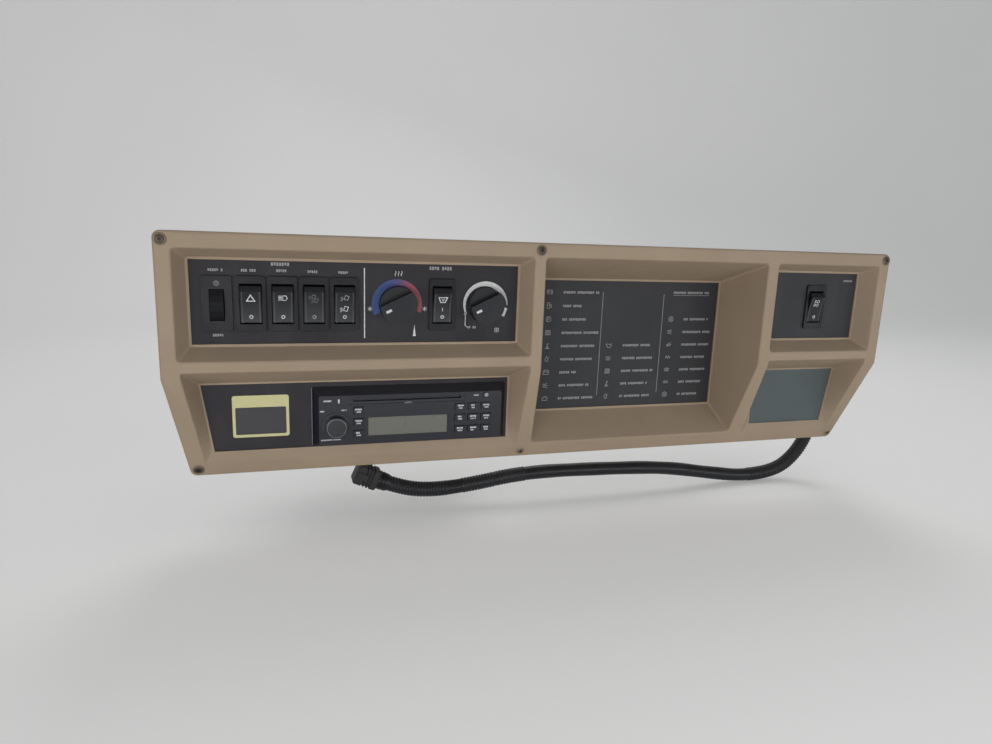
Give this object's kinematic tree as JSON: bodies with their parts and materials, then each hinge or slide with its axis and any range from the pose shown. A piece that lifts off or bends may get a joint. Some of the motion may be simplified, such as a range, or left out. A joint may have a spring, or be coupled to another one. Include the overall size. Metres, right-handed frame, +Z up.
{
  "type": "overhead cab control console",
  "caption": "Folded moulded fascia with recessed pockets holding dark panels, rocker switches, a thumbwheel, rotary knobs, a radio and an indicator panel.",
  "frame": {"origin": "mid width on the plane of the rim's back edge, level with the top row of screw holes", "axes": "+X to the driver's right, +Z up along the upper facet, +Y into the roof; in the cab the console leans, its top about 24 degrees towards the driver"},
  "size_m": [0.7236, 0.1757, 0.2766],
  "materials": {
    "fascia_tan": "fine moulded grain, matt",
    "panel_dark": "matt, fine grain",
    "control_black": "satin black",
    "radio_black": "satin black",
    "display": "unlit display, grey-green",
    "chassis_steel": "zinc-plated sheet",
    "housing_black": "matt black",
    "loom_black": "dark ribbed conduit, partly taped"
  },
  "bodies": {
    "root": {"fascia": "fascia_tan", "switch_panel": "panel_dark", "radio_panel": "panel_dark", "indicator_panel": "panel_dark", "aux_panel": "panel_dark", "blank_panel": "panel_dark", "hazard_switch": "control_black", "road_light_switch": "control_black", "field_light_switch": "control_black", "work_light_switch": "control_black", "ac_switch": "control_black", "aux_switch": "control_black", "dimmer_housing": "control_black", "temp_control": "control_black", "fan_control": "control_black", "radio_chassis": "chassis_steel", "radio_face": "radio_black", "radio_display": "display", "radio_keys": "radio_black", "lamp_housing": "housing_black", "loom": "loom_black", "loom_plug": "housing_black", "loom_bracket": "chassis_steel"},
    "hazard_rocker": {"hazard_rocker": "control_black"},
    "road_light_rocker": {"road_light_rocker": "control_black"},
    "field_light_rocker": {"field_light_rocker": "control_black"},
    "work_light_rocker": {"work_light_rocker": "control_black"},
    "ac_rocker": {"ac_rocker": "control_black"},
    "aux_rocker": {"aux_rocker": "control_black"},
    "dimmer_wheel": {"dimmer_wheel": "control_black"},
    "temp_knob": {"temp_knob": "control_black"},
    "fan_knob": {"fan_knob": "control_black"},
    "radio_knob": {"radio_knob": "radio_black"}
  },
  "joints": [
    {"name": "hazard_press", "type": "hinge", "parent": "root", "child": "hazard_rocker", "pos_m": [-0.2903, 0.011, -0.05195], "axis": [-1, 0, 0], "range_deg": [0, 20]},
    {"name": "road_light_press", "type": "hinge", "parent": "root", "child": "road_light_rocker", "pos_m": [-0.26465, 0.011, -0.05195], "axis": [-1, 0, 0], "range_deg": [0, 20]},
    {"name": "field_light_press", "type": "hinge", "parent": "root", "child": "field_light_rocker", "pos_m": [-0.239, 0.011, -0.05195], "axis": [-1, 0, 0], "range_deg": [0, 20]},
    {"name": "work_light_press", "type": "hinge", "parent": "root", "child": "work_light_rocker", "pos_m": [-0.21335, 0.011, -0.05195], "axis": [-1, 0, 0], "range_deg": [0, 20]},
    {"name": "ac_press", "type": "hinge", "parent": "root", "child": "ac_rocker", "pos_m": [-0.1266, 0.011, -0.05195], "axis": [-1, 0, 0], "range_deg": [0, 20]},
    {"name": "aux_press", "type": "hinge", "parent": "root", "child": "aux_rocker", "pos_m": [0.2852, 0.011, -0.05195], "axis": [-1, 0, 0], "range_deg": [0, 20]},
    {"name": "dimmer_turn", "type": "hinge", "parent": "root", "child": "dimmer_wheel", "pos_m": [-0.3167, 0.0205, -0.05295], "axis": [1, 0, 0], "range_deg": [-135, 135]},
    {"name": "temp_turn", "type": "hinge", "parent": "root", "child": "temp_knob", "pos_m": [-0.1673, -0.002, -0.05195], "axis": [0, 1, 0], "range_deg": [0, 220]},
    {"name": "fan_turn", "type": "hinge", "parent": "root", "child": "fan_knob", "pos_m": [-0.0859, -0.002, -0.05195], "axis": [0, 1, 0], "range_deg": [0, 220]},
    {"name": "volume_turn", "type": "hinge", "parent": "root", "child": "radio_knob", "pos_m": [-0.221, 0.01, -0.1643], "axis": [0, 1, 0], "continuous": true}
  ]
}
